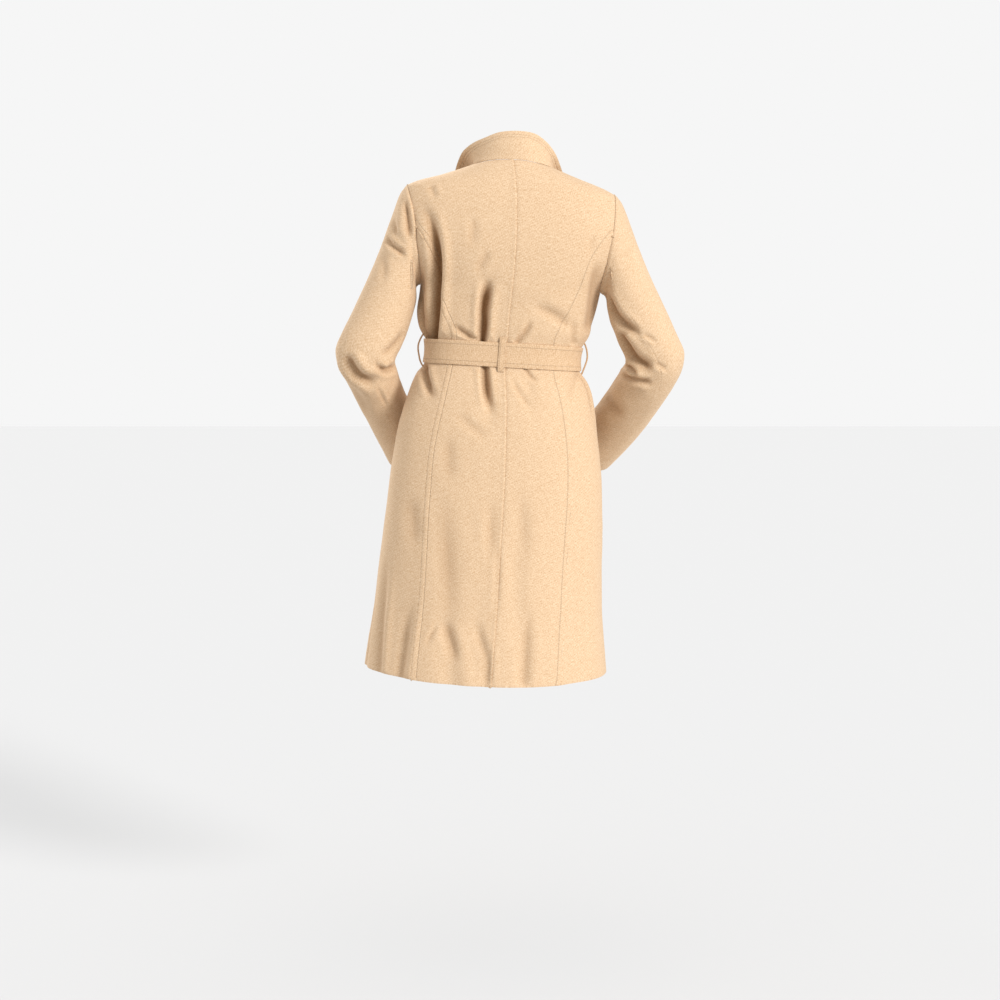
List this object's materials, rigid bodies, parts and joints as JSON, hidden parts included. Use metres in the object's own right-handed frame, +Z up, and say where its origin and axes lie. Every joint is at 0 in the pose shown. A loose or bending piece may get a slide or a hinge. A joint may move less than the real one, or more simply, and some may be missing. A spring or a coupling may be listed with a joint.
{
  "type": "belted wool coat",
  "caption": "Knee-length belted wool coat with a stand collar, princess seams and set-in sleeves, in the hollow shape it has when worn with the hands in front of the hips.",
  "frame": {"origin": "between the shoulders, at the base of the neck, where the wearer carries the coat", "axes": "+Z up, the front of the coat faces -Y, the wearer's left is +X"},
  "size_m": [0.6779, 0.3818, 1.0562],
  "materials": {
    "coat_wool": "felted wool twill, matte, mottled camel",
    "belt_wool": "the same felted wool, two layers, topstitched",
    "loop_thread": "worked thread loop, matte"
  },
  "bodies": {
    "root": {"back_left": "coat_wool", "back_right": "coat_wool", "side_back_left": "coat_wool", "side_back_right": "coat_wool", "side_front_left": "coat_wool", "side_front_right": "coat_wool", "front_left": "coat_wool", "front_right": "coat_wool", "upper_sleeve_left": "coat_wool", "upper_sleeve_right": "coat_wool", "under_sleeve_left": "coat_wool", "under_sleeve_right": "coat_wool", "collar": "coat_wool", "belt": "belt_wool", "belt_knot": "belt_wool", "belt_tail_left": "belt_wool", "belt_tail_right": "belt_wool", "belt_loop_back": "belt_wool", "belt_loop_left": "loop_thread", "belt_loop_right": "loop_thread"}
  },
  "joints": []
}
